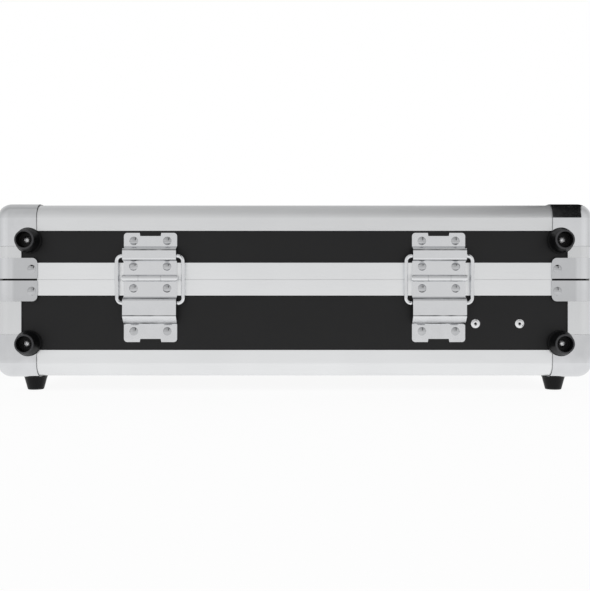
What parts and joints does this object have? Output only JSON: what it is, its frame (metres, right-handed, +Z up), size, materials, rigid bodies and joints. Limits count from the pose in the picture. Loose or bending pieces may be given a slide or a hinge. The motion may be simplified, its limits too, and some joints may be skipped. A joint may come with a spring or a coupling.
{
  "type": "mixer case",
  "caption": "Shallow hinged case for a rack-mount mixer: panels in rounded aluminium edges, lid-stay hinges, turn latches, bail handle and rubber feet.",
  "frame": {"origin": "middle of the footprint on the surface that the bottom feet stand on", "axes": "+X along the hinge side, to the right as seen from behind the case; +Y from the hinge side to the latch side; +Z up"},
  "size_m": [0.5358, 0.4846, 0.1675],
  "materials": {
    "black_laminate": "phenolic laminated birch plywood, fine smooth black",
    "profile_aluminium": "satin anodised extrusion",
    "chromed_steel": "bright chrome over pressed steel",
    "hinge_steel": "bright zinc and chrome plate",
    "rivet_steel": "plated steel",
    "latch_steel": "bright zinc plate",
    "rail_steel": "black powder coat",
    "foot_rubber": "moulded rubber",
    "grip_rubber": "moulded rubber",
    "foam": "charcoal open-cell foam"
  },
  "bodies": {
    "base": {"base_bottom_edges": "profile_aluminium", "base_brace_rivets": "rivet_steel", "base_closing_profile": "profile_aluminium", "base_corner_braces": "chromed_steel", "base_corner_caps": "chromed_steel", "base_feet": "foot_rubber", "base_floor_panel": "black_laminate", "base_foam": "foam", "base_foot_screws": "rivet_steel", "base_front_panel": "black_laminate", "base_left_panel": "black_laminate", "base_rear_feet": "foot_rubber", "base_rear_panel": "black_laminate", "base_right_panel": "black_laminate", "base_upright_edges": "profile_aluminium", "handle_bracket_rivets": "rivet_steel", "handle_brackets": "latch_steel", "hinge_base_leaf_left": "hinge_steel", "hinge_base_leaf_right": "hinge_steel", "hinge_base_rivets": "rivet_steel", "hinge_pin_left": "hinge_steel", "hinge_pin_right": "hinge_steel", "latch_housing_left": "latch_steel", "latch_housing_right": "latch_steel", "latch_housing_rivets": "rivet_steel", "rack_rail_left": "rail_steel", "rack_rail_right": "rail_steel", "rack_rail_screws": "rivet_steel", "rear_backing_strip": "latch_steel", "rear_panel_rivets": "rivet_steel"},
    "lid": {"hinge_lid_leaf_left": "hinge_steel", "hinge_lid_leaf_right": "hinge_steel", "hinge_lid_rivets": "rivet_steel", "latch_catch_rivets": "rivet_steel", "latch_catches": "latch_steel", "lid_brace_rivets": "rivet_steel", "lid_closing_profile": "profile_aluminium", "lid_corner_braces": "chromed_steel", "lid_corner_caps": "chromed_steel", "lid_foam": "foam", "lid_foot_screws": "rivet_steel", "lid_front_panel": "black_laminate", "lid_left_panel": "black_laminate", "lid_rear_feet": "foot_rubber", "lid_rear_panel": "black_laminate", "lid_right_panel": "black_laminate", "lid_top_edges": "profile_aluminium", "lid_top_panel": "black_laminate", "lid_upright_edges": "profile_aluminium"},
    "stay_ring_left": {"stay_ring_left": "hinge_steel"},
    "stay_ring_right": {"stay_ring_right": "hinge_steel"},
    "latch_spindle_left": {"latch_spindle_left": "latch_steel"},
    "latch_spindle_right": {"latch_spindle_right": "latch_steel"},
    "latch_claw_left": {"latch_claw_left": "latch_steel"},
    "latch_claw_right": {"latch_claw_right": "latch_steel"},
    "latch_wing_left": {"latch_wing_left": "latch_steel"},
    "latch_wing_right": {"latch_wing_right": "latch_steel"},
    "handle": {"handle_bail": "latch_steel", "handle_grip": "grip_rubber"}
  },
  "joints": [
    {"name": "lid_hinge", "type": "hinge", "parent": "base", "child": "lid", "pos_m": [0, -0.23185, 0.1009], "axis": [1, 0, 0], "range_deg": [0, 90]},
    {"name": "stay_left_swing", "type": "hinge", "parent": "lid", "child": "stay_ring_left", "pos_m": [-0.1273, -0.22787, 0.11885], "axis": [1, 0, 0], "range_deg": [-55.48, 0]},
    {"name": "latch_left_turn", "type": "hinge", "parent": "base", "child": "latch_spindle_left", "pos_m": [-0.15, 0.22165, 0.0616], "axis": [0, 1, 0], "range_deg": [0, 180]},
    {"name": "latch_left_draw", "type": "slide", "parent": "base", "child": "latch_claw_left", "axis": [0, -0.4392, -0.8984], "range_m": [0, 0.01002]},
    {"name": "latch_left_fold", "type": "hinge", "parent": "latch_spindle_left", "child": "latch_wing_left", "pos_m": [-0.15, 0.23975, 0.0616], "axis": [1, 0, 0], "range_deg": [0, 90]},
    {"name": "stay_right_swing", "type": "hinge", "parent": "lid", "child": "stay_ring_right", "pos_m": [0.1273, -0.22787, 0.11885], "axis": [1, 0, 0], "range_deg": [-55.48, 0]},
    {"name": "latch_right_turn", "type": "hinge", "parent": "base", "child": "latch_spindle_right", "pos_m": [0.15, 0.22165, 0.0616], "axis": [0, 1, 0], "range_deg": [0, 180]},
    {"name": "latch_right_draw", "type": "slide", "parent": "base", "child": "latch_claw_right", "axis": [0, -0.4392, -0.8984], "range_m": [0, 0.01002]},
    {"name": "latch_right_fold", "type": "hinge", "parent": "latch_spindle_right", "child": "latch_wing_right", "pos_m": [0.15, 0.23975, 0.0616], "axis": [1, 0, 0], "range_deg": [0, 90]},
    {"name": "handle_swing", "type": "hinge", "parent": "base", "child": "handle", "pos_m": [0, 0.23075, 0.072], "axis": [1, 0, 0], "range_deg": [0, 95]}
  ],
  "couplings": [
    {"joint": "stay_left_swing", "follows": "lid_hinge", "ratio": -0.6164},
    {"joint": "latch_left_draw", "follows": "latch_left_turn", "m_per_rad": 0.0031888},
    {"joint": "stay_right_swing", "follows": "lid_hinge", "ratio": -0.6164},
    {"joint": "latch_right_draw", "follows": "latch_right_turn", "m_per_rad": 0.0031888}
  ]
}
